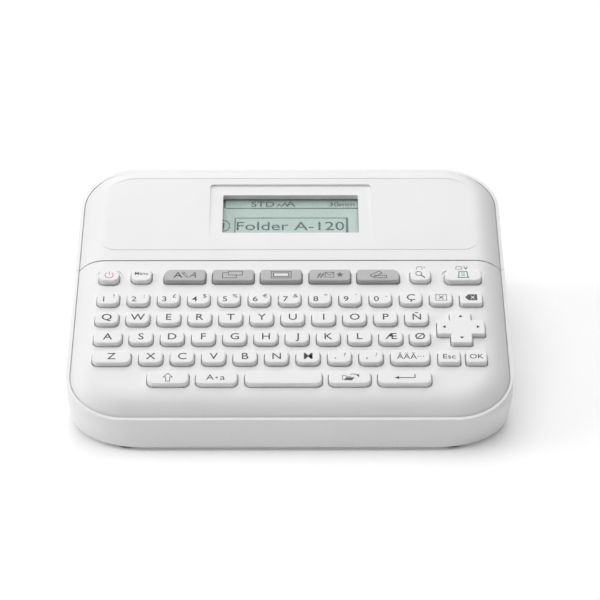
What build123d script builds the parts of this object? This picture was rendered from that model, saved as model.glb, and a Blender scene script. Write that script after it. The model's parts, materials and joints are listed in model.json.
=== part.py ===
from build123d import *
import os
from math import sin, cos, tan, radians

# Desktop label maker: a wedge-shaped keyboard case with a hinged display lid over the tape bay.
# Frame: millimetres, origin at the middle of the footprint on the table, +X right, +Y rear, +Z up.
os.makedirs("parts", exist_ok=True)

# ---------------------------------------------------------------- driving dimensions
WIDTH = 188.0
DEPTH = 177.0
FRONT_Y = -DEPTH / 2
REAR_Y = DEPTH / 2
WALL = 2.2
GAP = 0.25

FOOT_H = 1.2
TUCK = 1.0
PLAN_R = 25.5
SOLE_R = 33.0

SLOPE = 21.0
RIM_Z = 15.3
RIM_INSET = 1.5
RIM_W = WIDTH - 2 * RIM_INSET
RIM_L = 150.3
RIM_R = PLAN_R - RIM_INSET
RIM_LIP = 0.4
REBATE = 1.2
CROWN = 6.5
SKIN = 2.0
SIDE_TAPER = 35.0
ROLL_RATIO = 2.08

SEAM_S = 86.1
SEAM_GAP = 0.35
SPLIT_Z = 43.5
SEAM_Y = FRONT_Y + RIM_INSET + SEAM_S * cos(radians(SLOPE))

HINGE_Y = REAR_Y - 3.0
HINGE_Z = 46.0
BARREL_R = 3.0
BARREL_HALF = 61.5
KNUCKLE_W = 10.0
PIN_R = 1.25
PIN_PLAY = 0.05

KEY_RISE = 2.2
KEY_TRAVEL = 1.2
KEY_DEPTH = 6.9
KEY_GAP = 0.35
KEY_TAPER = 2.0
MAT_H = 1.0
PCB_H = 1.6
KEY_BOTTOM = -REBATE + PCB_H + MAT_H + KEY_TRAVEL + 0.1

FLOOR_Z = FOOT_H + WALL
DECK_Z = 20.0
DECK_H = 2.0

# ---------------------------------------------------------------- working planes
TOP = Plane(
    origin=(0, FRONT_Y + RIM_INSET, RIM_Z),
    x_dir=(1, 0, 0),
    z_dir=(0, -sin(radians(SLOPE)), cos(radians(SLOPE))),
)
TOP_AXIS = Axis(TOP.origin, TOP.z_dir)


def on_top(x, s, n):
    """A point given across, up the slope and off the rim plane, in the part's frame."""
    return TOP.from_local_coords((x, s, n))


def across_slope(s):
    """The plane square to the slope at distance s from the front rim, facing the rear."""
    return Plane(origin=on_top(0, s, 0), x_dir=(1, 0, 0), z_dir=TOP.y_dir)


def save(builder, name):
    builder.part.label = name
    export_step(builder.part, f"parts/{name}.step")


# ---------------------------------------------------------------- outer forms
def case_hull(inset, floor_z, top_z):
    """Lower case volume: a rounded plan that narrows towards the sole."""
    with BuildPart() as hull:
        with BuildSketch(Plane.XY.offset(floor_z)):
            RectangleRounded(WIDTH - 2 * (TUCK + inset), DEPTH - 2 * (TUCK + inset), SOLE_R - inset)
        with BuildSketch(Plane.XY.offset(RIM_Z)):
            RectangleRounded(WIDTH - 2 * inset, DEPTH - 2 * inset, PLAN_R - inset)
        loft()
        with BuildSketch(Plane.XY.offset(RIM_Z)):
            RectangleRounded(WIDTH - 2 * inset, DEPTH - 2 * inset, PLAN_R - inset)
        extrude(amount=top_z - RIM_Z)
    return hull.part


def rim_block(inset, low, high):
    """Everything inside the rim outline between two heights off the rim plane."""
    with BuildPart() as block:
        with BuildSketch(TOP.offset(low)):
            with Locations((0, RIM_L / 2)):
                RectangleRounded(RIM_W - 2 * inset, RIM_L - 2 * inset, RIM_R - inset)
        extrude(amount=high - low)
    return block.part


def pillow(inset, skirt):
    """The crowned top: a straight skirt, a leaning side and a rolled upper edge."""
    crown = CROWN - max(inset, GAP) + GAP
    with BuildPart() as form:
        add(rim_block(inset, -skirt, 0))
        with BuildSketch(TOP):
            with Locations((0, RIM_L / 2)):
                RectangleRounded(RIM_W - 2 * inset, RIM_L - 2 * inset, RIM_R - inset)
        extrude(amount=crown, taper=SIDE_TAPER)
        fillet(form.faces().sort_by(TOP_AXIS)[-1].edges(), ROLL_RATIO * crown)
    return form.part


BELT_FRONT_Z = 42.5
BELT_REAR_Z = 50.0
LID_FRONT_S = 86.8 - 8.0 / cos(radians(SLOPE))
LID_FRONT_Y = FRONT_Y + RIM_INSET + LID_FRONT_S * cos(radians(SLOPE))
BELT_TILT = (BELT_REAR_Z - BELT_FRONT_Z) / (REAR_Y - LID_FRONT_Y)


def lid_hull(inset):
    """Lid band: the tilted rim outline lofted back and down to the belt line, then straight down."""
    belt = Plane(origin=(0, LID_FRONT_Y, BELT_FRONT_Z), x_dir=(1, 0, 0), z_dir=(0, -BELT_TILT, 1))
    belt_len = (REAR_Y - LID_FRONT_Y) * (1 + BELT_TILT**2) ** 0.5
    top_front = LID_FRONT_S
    top_len = RIM_L + RIM_INSET - top_front
    with BuildPart() as hull:
        with BuildSketch(belt.offset(-inset)) as low:
            with Locations((0, belt_len / 2 - inset / 2)):
                Rectangle(WIDTH - 2 * inset, belt_len - inset)
            fillet(low.vertices().group_by(Axis.Y)[-1], PLAN_R - inset)
        with BuildSketch(TOP.offset(RIM_LIP - inset)) as high:
            with Locations((0, top_front + top_len / 2 - inset / 2)):
                Rectangle(WIDTH - 2 * inset, top_len - inset)
            fillet(high.vertices().group_by(Axis.Y)[-1], PLAN_R - inset)
        loft()
        extrude(low.sketch, amount=BELT_REAR_Z, dir=(0, 0, -1))
    return hull.part


OUTER = case_hull(0, FOOT_H, SPLIT_Z + 10)

# ---------------------------------------------------------------- keyboard layout
# Distances up the slope of the six key rows, and the first key and pitch of the letter rows.
ROW_FN = 75.1
ROW_DIGIT = 61.1
ROW_Q = 49.5
ROW_A = 38.1
ROW_Z = 26.7
ROW_SPACE = 14.9
DIGIT_PITCH = 12.97
LETTER_PITCH = 13.17
KEY_W = 9.9
SMALL_W = 8.7

# Each entry: key or key group, then (across, up the slope, width) of each cap in it.
DIGITS = [(-77.9 + DIGIT_PITCH * i, ROW_DIGIT, 9.4) for i in range(11)]
Q_KEYS = [(-77.8 + LETTER_PITCH * i, ROW_Q, KEY_W) for i in range(11)]
A_KEYS = [(-76.8, ROW_A, 11.9)] + [(-62.75 + LETTER_PITCH * i, ROW_A, KEY_W) for i in range(9)]
A_KEYS += [(54.9, ROW_A, SMALL_W)]
Z_KEYS = [(-74.6, ROW_Z, 16.1)] + [(-58.2 + LETTER_PITCH * i, ROW_Z, KEY_W) for i in range(8)]
Z_KEYS += [(50.4, ROW_Z, 16.3)]

KEYS = {
    "key_power": [(-78.2, ROW_FN, 8.6)],
    "key_menu": [(-64.2, ROW_FN, SMALL_W)],
    "key_font": [(-45.4, ROW_FN, 17.8)],
    "key_frame_style": [(-24.5, ROW_FN, 17.8)],
    "key_frame": [(-3.8, ROW_FN, 17.8)],
    "key_symbol": [(17.3, ROW_FN, 17.8)],
    "key_label": [(38.2, ROW_FN, 18.2)],
    "key_preview": [(56.5, ROW_FN, SMALL_W)],
    "key_print": [(74.9, ROW_FN, 15.8)],
    "keys_digits": DIGITS,
    "key_clear": [(64.8, ROW_DIGIT, 9.6)],
    "key_backspace": [(77.7, ROW_DIGIT, 9.6)],
    "keys_letters_q": Q_KEYS,
    "keys_letters_a": A_KEYS,
    "keys_letters_z": Z_KEYS,
    "key_escape": [(66.7, ROW_Z, 9.2)],
    "key_ok": [(78.1, ROW_Z, SMALL_W)],
    "key_shift": [(-50.6, ROW_SPACE, 17.2)],
    "key_caps": [(-30.4, ROW_SPACE, 17.2)],
    "key_space": [(-2.6, ROW_SPACE, 32.0)],
    "key_file": [(24.9, ROW_SPACE, 17.4)],
    "key_enter": [(47.7, ROW_SPACE, 22.2)],
}
PAD_X = 72.5
PAD_S = 43.8
PAD_ARM = 8.3
PAD_W = 20.2
PAD_H = 18.4
REAR_CORNER = 1.2
FRONT_CORNER = 2.7
GREY_CORNER = 1.5
END_CORNER = 3.0
GREY_KEYS = ("key_font", "key_frame_style", "key_frame", "key_symbol", "key_label")
SMALL_KEYS = ("key_backspace", "key_escape", "key_ok")
RECESSED_KEYS = ("key_power", "key_print")
RECESS_GROW = 1.2
RECESS_DEPTH = 0.6


def corner_radii(name):
    """Rear-left, rear-right and front corner radii of a cap."""
    if name in RECESSED_KEYS:
        return END_CORNER, END_CORNER, FRONT_CORNER
    if name in SMALL_KEYS:
        return REAR_CORNER, REAR_CORNER, GREY_CORNER
    if name not in GREY_KEYS:
        return REAR_CORNER, REAR_CORNER, FRONT_CORNER
    rear_left = END_CORNER if name == "key_font" else REAR_CORNER
    rear_right = END_CORNER if name == "key_label" else REAR_CORNER
    return rear_left, rear_right, GREY_CORNER


def cap_outline(name, x, s, width, grow):
    """Rounded outline of one cap in the current sketch, grown all round."""
    rear_left, rear_right, front = corner_radii(name)
    with BuildSketch(Plane.XY, mode=Mode.PRIVATE) as outline:
        Rectangle(width + 2 * grow, KEY_DEPTH + 2 * grow)
        rear = outline.vertices().group_by(Axis.Y)[-1].sort_by(Axis.X)
        fillet(rear[0], rear_left)
        rear = outline.vertices().group_by(Axis.Y)[-1].sort_by(Axis.X)
        fillet(rear[-1], rear_right)
        fillet(outline.vertices().group_by(Axis.Y)[0], front)
    with Locations((x, s)):
        add(outline.sketch)


def pad_outline(grow):
    """Plus-shaped outline of the arrow pad in the current sketch."""
    with Locations((PAD_X, PAD_S)):
        RectangleRounded(PAD_W + 2 * grow, PAD_ARM + 2 * grow, REAR_CORNER)
        RectangleRounded(PAD_ARM + 0.6 + 2 * grow, PAD_H + 2 * grow, REAR_CORNER)


CAP_TOP = CROWN + KEY_RISE
CAP_SPREAD = KEY_RISE * tan(radians(KEY_TAPER))
FLANGE_GROW = 0.9
CAP_EDGE = 0.65
FLANGE_TOP = CROWN - SKIN - 0.2


def finish_caps(caps):
    """Break the upper edges of the caps in the current part."""
    tops = caps.faces().group_by(TOP_AXIS)[-1]
    fillet(tops.edges(), CAP_EDGE)


for key_name, places in KEYS.items():
    with BuildPart() as caps:
        with BuildSketch(TOP.offset(CAP_TOP)):
            for x, s, width in places:
                cap_outline(key_name, x, s, width, 0)
        extrude(amount=-(CAP_TOP - KEY_BOTTOM), taper=-KEY_TAPER)
        finish_caps(caps)
        with BuildSketch(TOP.offset(KEY_BOTTOM)):
            for x, s, width in places:
                cap_outline(key_name, x, s, width, FLANGE_GROW)
        extrude(amount=FLANGE_TOP - KEY_BOTTOM)
    save(caps, key_name)

with BuildPart() as arrow_pad:
    with BuildSketch(TOP.offset(CAP_TOP)):
        pad_outline(0)
    extrude(amount=-(CAP_TOP - KEY_BOTTOM), taper=-KEY_TAPER)
    finish_caps(arrow_pad)
    with BuildSketch(TOP.offset(KEY_BOTTOM)):
        pad_outline(FLANGE_GROW)
    extrude(amount=FLANGE_TOP - KEY_BOTTOM)
save(arrow_pad, "arrow_pad")

# ---------------------------------------------------------------- keyboard panel
PARTITION_Y = SEAM_Y - 3.8
PARTITION_T = 2.0

with BuildPart() as keyboard_panel:
    add(pillow(GAP, REBATE))
    add(pillow(GAP + SKIN, REBATE + 1.0), mode=Mode.SUBTRACT)
    split(bisect_by=across_slope(SEAM_S - SEAM_GAP), keep=Keep.BOTTOM)
    with BuildPart(mode=Mode.PRIVATE) as partition:
        with Locations((0, PARTITION_Y, DECK_Z)):
            Box(RIM_W, PARTITION_T, 60, align=(Align.CENTER, Align.CENTER, Align.MIN))
        add(pillow(GAP + 1.0, 60), mode=Mode.INTERSECT)
    add(partition.part)
    with BuildSketch(TOP.offset(CROWN - SKIN - 1.0)):
        for key_name, places in KEYS.items():
            for x, s, width in places:
                cap_outline(key_name, x, s, width, CAP_SPREAD + KEY_GAP)
        pad_outline(CAP_SPREAD + KEY_GAP)
    extrude(amount=10, mode=Mode.SUBTRACT)
    # shallow recess around the power and print keys
    with BuildSketch(TOP.offset(CROWN - RECESS_DEPTH)):
        for key_name in RECESSED_KEYS:
            for x, s, width in KEYS[key_name]:
                cap_outline(key_name, x, s, width, CAP_SPREAD + RECESS_GROW)
    extrude(amount=3, mode=Mode.SUBTRACT)
save(keyboard_panel, "keyboard_panel")

# ---------------------------------------------------------------- lower shell
BATTERY_R = 7.2
BATTERY_L = 50.4
BATTERY_PITCH = 15.0
BATTERY_X = [6.4, 60.0]
BATTERY_Y = [37.2 + BATTERY_PITCH * i for i in range(3)]
BATTERY_Z = FLOOR_Z + BATTERY_R + 0.2

COVER_X = -24.0
COVER_Y = (28.6, 75.8)
COVER_GAP = 0.25
TONGUE = 1.2

SLOT_Y = 21.5
SLOT_W = 6.0
SLOT_Z = 22.6

BUTTON_Y = (36.0, 52.0)
BUTTON_Z = (24.0, 40.0)
RELEASE_Y = (20.0, 34.0)
RELEASE_Z = (24.0, 33.0)

DC_Y = -30.0
USB_Y = -48.0
JACK_Z = 10.5
DC_R = 4.2
USB_W = 9.0
USB_H = 4.0

FOOT_X = 67.5
FOOT_Y = 79.5
FOOT_R = 5.0

SCREW_SPOTS = [(-80, -56), (80, -56), (-84, 4), (84, 4)]
POST_R = 4.0
SCREW_HEAD_R = 3.0
SCREW_R = 1.5
POST_SPOTS = [(-74, -70), (74, -70), (-78, -19), (78, -19), (0, -72), (0, -19)]


def slab(x_range, y_range, z_range):
    """A box given by its limits, made outside the current part."""
    size = (x_range[1] - x_range[0], y_range[1] - y_range[0], z_range[1] - z_range[0])
    corner = Pos(x_range[0], y_range[0], z_range[0])
    return corner * Box(*size, align=(Align.MIN, Align.MIN, Align.MIN), mode=Mode.PRIVATE)


def rod(x, y, z_range, radius):
    """An upright cylinder given by its centre and its two heights."""
    height = z_range[1] - z_range[0]
    align = (Align.CENTER, Align.CENTER, Align.MIN)
    return Pos(x, y, z_range[0]) * Cylinder(radius, height, align=align, mode=Mode.PRIVATE)


def cross_rod(x_range, y, z, radius):
    """A cylinder lying across the case."""
    length = x_range[1] - x_range[0]
    middle = (x_range[0] + x_range[1]) / 2
    return Pos(middle, y, z) * Rot(0, 90, 0) * Cylinder(radius, length, mode=Mode.PRIVATE)


with BuildPart() as lower_shell:
    add(OUTER)
    fillet(lower_shell.faces().sort_by(Axis.Z)[0].edges(), 2.0)
    add(case_hull(WALL, FLOOR_Z, SPLIT_Z + 20), mode=Mode.SUBTRACT)
    # posts for the sloping circuit board, and screw posts under the tape deck
    for x, y in POST_SPOTS:
        add(rod(x, y, (FLOOR_Z - 0.5, SPLIT_Z), POST_R))
    for x, y in SCREW_SPOTS:
        add(rod(x, y, (FLOOR_Z - 0.5, DECK_Z - DECK_H), POST_R + 0.5))
    # sloping rim in front of the seam, level split line behind it
    add(rim_block(0, -REBATE, 60), mode=Mode.SUBTRACT)
    with BuildSketch(TOP.offset(RIM_LIP)):
        Rectangle(WIDTH + 10, 4 * RIM_L)
    extrude(amount=80, mode=Mode.SUBTRACT)
    add(slab((-100, 100), (SEAM_Y, 100), (SPLIT_Z - GAP, 80)), mode=Mode.SUBTRACT)
    # rear edge drops below the hinge, with two knuckles standing on it
    add(slab((-82, 82), (HINGE_Y - 8, 100), (HINGE_Z - BARREL_R - 1.0, 80)), mode=Mode.SUBTRACT)
    for side in (-1, 1):
        inner = side * (BARREL_HALF + 0.5)
        outer = side * (BARREL_HALF + 0.5 + KNUCKLE_W)
        span = (min(inner, outer), max(inner, outer))
        add(cross_rod(span, HINGE_Y, HINGE_Z, BARREL_R))
        add(slab(span, (HINGE_Y - 2.5, REAR_Y), (HINGE_Z - 8, HINGE_Z)))
        add(cross_rod(span, HINGE_Y, HINGE_Z, PIN_R), mode=Mode.SUBTRACT)
    # tape exit slot, cutter button window and lid release window
    slot_y = (SLOT_Y - SLOT_W / 2, SLOT_Y + SLOT_W / 2)
    add(slab((-100, -85), slot_y, (SLOT_Z, 80)), mode=Mode.SUBTRACT)
    add(slab((-100, -85), BUTTON_Y, BUTTON_Z), mode=Mode.SUBTRACT)
    add(slab((85, 100), RELEASE_Y, RELEASE_Z), mode=Mode.SUBTRACT)
    # power and data sockets in the right wall
    add(Pos(90, DC_Y, JACK_Z) * Rot(0, 90, 0) * Cylinder(DC_R, 20, mode=Mode.PRIVATE), mode=Mode.SUBTRACT)
    usb_y = (USB_Y - USB_W / 2, USB_Y + USB_W / 2)
    add(slab((80, 100), usb_y, (JACK_Z - USB_H / 2, JACK_Z + USB_H / 2)), mode=Mode.SUBTRACT)
    # battery opening, which runs out through the right edge, with grooves for the cover's tongues
    add(slab((COVER_X, 110), COVER_Y, (0, FLOOR_Z)), mode=Mode.SUBTRACT)
    groove_y = (COVER_Y[0] - TONGUE - 0.2, COVER_Y[1] + TONGUE + 0.2)
    add(slab((COVER_X, 110), groove_y, (FOOT_H + 0.9, FLOOR_Z - 0.4)), mode=Mode.SUBTRACT)
    # screw holes from below
    for x, y in SCREW_SPOTS:
        add(rod(x, y, (0, DECK_Z + 5), SCREW_R), mode=Mode.SUBTRACT)
        add(rod(x, y, (0, FOOT_H + 2.6), SCREW_HEAD_R + 0.2), mode=Mode.SUBTRACT)
save(lower_shell, "lower_shell")

with BuildPart() as battery_cover:
    add(OUTER)
    fillet(battery_cover.faces().sort_by(Axis.Z)[0].edges(), 2.0)
    cover_y = (COVER_Y[0] + COVER_GAP, COVER_Y[1] - COVER_GAP)
    with BuildPart(mode=Mode.PRIVATE) as plate:
        add(slab((COVER_X + COVER_GAP, 110), cover_y, (0, FLOOR_Z - 0.05)))
        tongue_y = (COVER_Y[0] - TONGUE, COVER_Y[1] + TONGUE)
        add(slab((COVER_X + COVER_GAP, 88), tongue_y, (FOOT_H + 1.1, FLOOR_Z - 0.6)))
        # finger grip near the edge that slides out
        with Locations((78, (COVER_Y[0] + COVER_Y[1]) / 2, FOOT_H)):
            with GridLocations(2.4, 0, 4, 1):
                Box(1.0, 20, 1.0, mode=Mode.SUBTRACT)
    add(plate.part, mode=Mode.INTERSECT)
save(battery_cover, "battery_cover")

with BuildPart() as batteries:
    for x in BATTERY_X:
        for y in BATTERY_Y:
            tip_x = x + BATTERY_L / 2
            add(cross_rod((x - BATTERY_L / 2, tip_x - 1.4), y, BATTERY_Z, BATTERY_R))
            add(cross_rod((tip_x - 1.4, tip_x), y, BATTERY_Z, 2.7))
save(batteries, "batteries")

CONTACT_X = BATTERY_X[0] - BATTERY_L / 2 - 1.4
with BuildPart() as battery_contacts:
    for y in BATTERY_Y:
        add(slab((CONTACT_X - 0.6, CONTACT_X), (y - 5, y + 5), (FLOOR_Z + 1, FLOOR_Z + 13)))
        with Locations(Location((CONTACT_X, y, BATTERY_Z), (0, 90, 0))):
            Cylinder(3.0, 1.4, align=(Align.CENTER, Align.CENTER, Align.MIN))
            Cylinder(2.0, 1.4, align=(Align.CENTER, Align.CENTER, Align.MIN), mode=Mode.SUBTRACT)
    far_x = BATTERY_X[1] + BATTERY_L / 2
    for y in BATTERY_Y:
        add(slab((far_x, far_x + 0.6), (y - 5, y + 5), (FLOOR_Z + 1, FLOOR_Z + 13)))
save(battery_contacts, "battery_contacts")

with BuildPart() as rubber_feet:
    with Locations(*[(x, y, 0) for x in (-FOOT_X, FOOT_X) for y in (-FOOT_Y, FOOT_Y + 1)]):
        Cylinder(FOOT_R, FOOT_H, align=(Align.CENTER, Align.CENTER, Align.MIN))
    fillet(rubber_feet.faces().sort_by(Axis.Z)[0].edges(), 0.4)
    fillet(rubber_feet.faces().group_by(Axis.Z)[0].edges(), 0.39)
save(rubber_feet, "rubber_feet")

with BuildPart() as case_screws:
    for x, y in SCREW_SPOTS:
        add(rod(x, y, (FOOT_H + 0.6, FOOT_H + 2.6), SCREW_HEAD_R))
        add(rod(x, y, (FOOT_H + 2.6, DECK_Z - DECK_H - 1), SCREW_R))
        for turn in (0, 90):
            cross = Pos(x, y, FOOT_H + 0.6) * Rot(0, 0, turn) * Box(3.2, 0.8, 1.6, mode=Mode.PRIVATE)
            add(cross, mode=Mode.SUBTRACT)
save(case_screws, "case_screws")

# ---------------------------------------------------------------- circuit board and key mat
BOARD_W = 174.0
BOARD_L = 72.0
BOARD_S = 43.0

BOARD_CORNER = 18.0


def board_layer(low, thickness):
    """A layer under the keys, with its front corners rounded to the case."""
    with BuildPart() as layer:
        with BuildSketch(TOP.offset(low)) as outline:
            with Locations((0, BOARD_S)):
                Rectangle(BOARD_W, BOARD_L)
            fillet(outline.vertices().group_by(Axis.Y)[0], BOARD_CORNER)
        extrude(amount=thickness)
    return layer


save(board_layer(-REBATE, PCB_H), "main_pcb")
save(board_layer(-REBATE + PCB_H, MAT_H), "keypad_mat")

with BuildPart() as dc_jack:
    add(slab((77, 90.5), (DC_Y - 4.6, DC_Y + 4.6), (JACK_Z - 5, JACK_Z + 5)))
    add(cross_rod((90.4, 93.4), DC_Y, JACK_Z, DC_R - 0.2))
    add(cross_rod((81, 100), DC_Y, JACK_Z, 2.75), mode=Mode.SUBTRACT)
    add(cross_rod((80, 92.4), DC_Y, JACK_Z, 0.8))
save(dc_jack, "dc_jack")

with BuildPart() as usb_port:
    add(slab((83, 92.6), (USB_Y - 4.1, USB_Y + 4.1), (JACK_Z - 1.75, JACK_Z + 1.75)))
    fillet(usb_port.edges().filter_by(Axis.X), 0.8)
    add(slab((84, 100), (USB_Y - 3.6, USB_Y + 3.6), (JACK_Z - 1.3, JACK_Z + 1.3)), mode=Mode.SUBTRACT)
    add(slab((83.5, 91.5), (USB_Y - 2.8, USB_Y + 2.8), (JACK_Z - 0.3, JACK_Z + 0.3)))
save(usb_port, "usb_port")

# ---------------------------------------------------------------- drive train under the deck
MODULE = 0.8
GEAR_Z = (14.0, 17.0)
STEP_Z = (10.6, 13.6)
PLATEN_X = -45.0
PLATEN_R = 4.4
PLATEN_Y = SLOT_Y - 0.1 - PLATEN_R
TRAIN_ANGLE = -6.0
PINION_N = 12
WHEEL_N = 36
IDLER_N = 30
PLATEN_N = 16
TAKEUP_N = 30
AXLE_R = 1.5
PLAY = 0.05


def centre_distance(teeth_a, teeth_b):
    return MODULE * (teeth_a + teeth_b) / 2


def walk(start, distance, angle):
    """The point at a distance and a heading from a start point."""
    return start[0] + distance * cos(radians(angle)), start[1] + distance * sin(radians(angle))


PLATEN_AT = (PLATEN_X, PLATEN_Y)
IDLER_AT = walk(PLATEN_AT, centre_distance(PLATEN_N, IDLER_N), TRAIN_ANGLE)
WHEEL_AT = walk(IDLER_AT, centre_distance(IDLER_N, PINION_N), TRAIN_ANGLE)
MOTOR_AT = walk(WHEEL_AT, centre_distance(WHEEL_N, PINION_N), TRAIN_ANGLE)
TAKEUP_ANGLE = 114.0
TAKEUP_AT = walk(IDLER_AT, centre_distance(IDLER_N, TAKEUP_N), TAKEUP_ANGLE)


def gear(at, teeth, z_range, aim, tooth_on_aim, bore=0.0):
    """A spur gear with plain tapered teeth; aim is the heading at which a tooth or a gap sits."""
    pitch_r = MODULE * teeth / 2
    root_r = pitch_r - 1.15 * MODULE
    tip_r = pitch_r + 0.8 * MODULE
    root_half = 0.36 * MODULE * 1.9
    tip_half = 0.16 * MODULE * 1.9
    start = aim + (0 if tooth_on_aim else 180 / teeth)
    with BuildPart() as wheel:
        with BuildSketch(Plane(origin=(at[0], at[1], z_range[0]))):
            Circle(root_r)
            with PolarLocations(0, teeth, start_angle=start):
                with Locations((root_r - 0.3, 0)):
                    Polygon(
                        (0, -root_half),
                        (tip_r - root_r + 0.3, -tip_half),
                        (tip_r - root_r + 0.3, tip_half),
                        (0, root_half),
                        align=None,
                    )
            if bore:
                Circle(bore, mode=Mode.SUBTRACT)
        extrude(amount=z_range[1] - z_range[0])
    return wheel.part


with BuildPart() as motor_pinion:
    add(gear(MOTOR_AT, PINION_N, GEAR_Z, TRAIN_ANGLE + 180, True))
    add(rod(*MOTOR_AT, (GEAR_Z[1], DECK_Z + 1), AXLE_R))
save(motor_pinion, "motor_pinion")

with BuildPart() as reduction_gear:
    add(gear(WHEEL_AT, WHEEL_N, GEAR_Z, TRAIN_ANGLE, False, AXLE_R + PLAY))
    add(gear(WHEEL_AT, PINION_N, (STEP_Z[0], GEAR_Z[0]), TRAIN_ANGLE + 180, True, AXLE_R + PLAY))
save(reduction_gear, "reduction_gear")

with BuildPart() as idler_gear:
    add(gear(IDLER_AT, IDLER_N, STEP_Z, TRAIN_ANGLE, False, AXLE_R + PLAY))
save(idler_gear, "idler_gear")

# the idler's gap faces the step pinion; the headings below put a tooth of each driven gear in a gap
IDLER_STEP = 360 / IDLER_N


def idler_phase(heading):
    """How far past the nearest idler gap a heading lies, in degrees."""
    return (heading - TRAIN_ANGLE) % IDLER_STEP


def meshed_heading(heading, teeth):
    """Where a driven gear must put a tooth so that it sits in the idler gap nearest the heading."""
    return heading + 180 + idler_phase(heading) * IDLER_N / teeth


with BuildPart() as platen_gear:
    aim = meshed_heading(TRAIN_ANGLE + 180, PLATEN_N)
    add(gear(PLATEN_AT, PLATEN_N, STEP_Z, aim, True))
    add(rod(*PLATEN_AT, (STEP_Z[1], DECK_Z + 23), AXLE_R))
save(platen_gear, "platen_gear")

with BuildPart() as platen_roller:
    add(rod(*PLATEN_AT, (DECK_Z + 2.4, DECK_Z + 22.4), PLATEN_R))
    add(rod(*PLATEN_AT, (DECK_Z, DECK_Z + 30), AXLE_R), mode=Mode.SUBTRACT)
save(platen_roller, "platen_roller")

with BuildPart() as takeup_spindle:
    aim = meshed_heading(TAKEUP_ANGLE, TAKEUP_N)
    add(gear(TAKEUP_AT, TAKEUP_N, STEP_Z, aim, True))
    add(rod(*TAKEUP_AT, (STEP_Z[1], DECK_Z + 14), 2.4))
    for turn in range(6):
        fin = Pos(*TAKEUP_AT, DECK_Z + 8) * Rot(0, 0, 60 * turn) * Pos(2.6, 0, 0)
        add(fin * Box(1.6, 0.8, 12, mode=Mode.PRIVATE))
save(takeup_spindle, "takeup_spindle")

FEED_AT = (PLATEN_X - 18.0, SLOT_Y - 0.1 - 3.6)
FEED_R = 3.6
with BuildPart() as feed_roller:
    add(rod(*FEED_AT, (DECK_Z + 2.4, DECK_Z + 22.4), FEED_R))
    add(rod(*FEED_AT, (DECK_Z, DECK_Z + 30), AXLE_R + PLAY), mode=Mode.SUBTRACT)
save(feed_roller, "feed_roller")

MOTOR_R = 10.0
with BuildPart() as motor:
    add(rod(*MOTOR_AT, (DECK_Z, DECK_Z + 17), MOTOR_R))
    add(rod(*MOTOR_AT, (DECK_Z - 1, DECK_Z + 1.5), AXLE_R + PLAY), mode=Mode.SUBTRACT)
    fillet(motor.faces().sort_by(Axis.Z)[-1].edges(), 1.0)
save(motor, "motor")

# ---------------------------------------------------------------- tape deck
HEAD_X = (PLATEN_X - 8, PLATEN_X + 8)
HEAD_Y = (SLOT_Y + 0.1, SLOT_Y + 1.7)

with BuildPart() as tape_deck:
    add(case_hull(WALL + 0.3, FLOOR_Z, SPLIT_Z))
    add(slab((-92, 92), (PARTITION_Y - 3, 84), (DECK_Z - DECK_H, DECK_Z)), mode=Mode.INTERSECT)
    add(slab((-92, -84), slot_y, (0, 60)), mode=Mode.SUBTRACT)
    # walls that hold the cassette, at its right side and behind it
    add(slab((-1.2, 0.3), (30, 78), (DECK_Z - 0.5, DECK_Z + 8)))
    add(slab((-76, -4), (76.3, 77.8), (DECK_Z - 0.5, DECK_Z + 8)))
    # holder for the two rollers
    add(slab((-70, -38), (8.0, 10.5), (DECK_Z - 0.5, DECK_Z + 24.6)))
    add(slab((-70, -38), (8.0, SLOT_Y - 1.6), (DECK_Z + 23.0, DECK_Z + 24.6)))
    # clearance holes for the turning shafts, and fixed axles for the free gears
    for at, radius in ((MOTOR_AT, AXLE_R), (PLATEN_AT, AXLE_R), (TAKEUP_AT, 2.4)):
        add(rod(*at, (0, DECK_Z + 2), radius + PLAY), mode=Mode.SUBTRACT)
    for at in (WHEEL_AT, IDLER_AT):
        add(rod(*at, (STEP_Z[0] - 0.6, DECK_Z - DECK_H + 0.5), AXLE_R))
    add(rod(*FEED_AT, (DECK_Z - 0.5, DECK_Z + 23.2), AXLE_R))
    add(rod(*PLATEN_AT, (DECK_Z + 22.6, DECK_Z + 23.1), AXLE_R + PLAY), mode=Mode.SUBTRACT)
save(tape_deck, "tape_deck")

with BuildPart() as print_head:
    add(slab(HEAD_X, HEAD_Y, (DECK_Z, DECK_Z + 22)))
    fillet(print_head.edges().filter_by(Axis.Z), 0.5)
save(print_head, "print_head")

with BuildPart() as head_heatsink:
    heat_y = (HEAD_Y[1], HEAD_Y[1] + 2.0)
    add(slab((HEAD_X[0] + 1, HEAD_X[1] - 1), heat_y, (DECK_Z, DECK_Z + 22)))
    add(slab((HEAD_X[0] + 1, HEAD_X[1] - 1), (heat_y[0], heat_y[1] + 3.4), (DECK_Z, DECK_Z + 1.5)))
save(head_heatsink, "head_heatsink")

# ---------------------------------------------------------------- tape cassette
CASSETTE_X = (-77.0, -3.0)
CASSETTE_Y = (20.2, 75.6)
CASSETTE_Z = (DECK_Z + 0.1, DECK_Z + 24.6)
SPOOL_AT = (-56.0, 54.4)
SPOOL_R = 17.4
TAPE_Z = (DECK_Z + 3.4, DECK_Z + 21.4)

GUIDE_X = -8.5
TAPE_END_X = -86.6
TAPE_REAR_Y = SPOOL_AT[1] + SPOOL_R + 0.4


def tape_path(half):
    """The three straight runs of tape from the spool to the slot, each with its half thickness."""
    front_run = ((TAPE_END_X, GUIDE_X + half), (SLOT_Y - half, SLOT_Y + half))
    side_run = ((GUIDE_X - half, GUIDE_X + half), (SLOT_Y - half, TAPE_REAR_Y + half))
    rear_run = ((SPOOL_AT[0], GUIDE_X + half), (TAPE_REAR_Y - half, TAPE_REAR_Y + half))
    return front_run, side_run, rear_run


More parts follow.
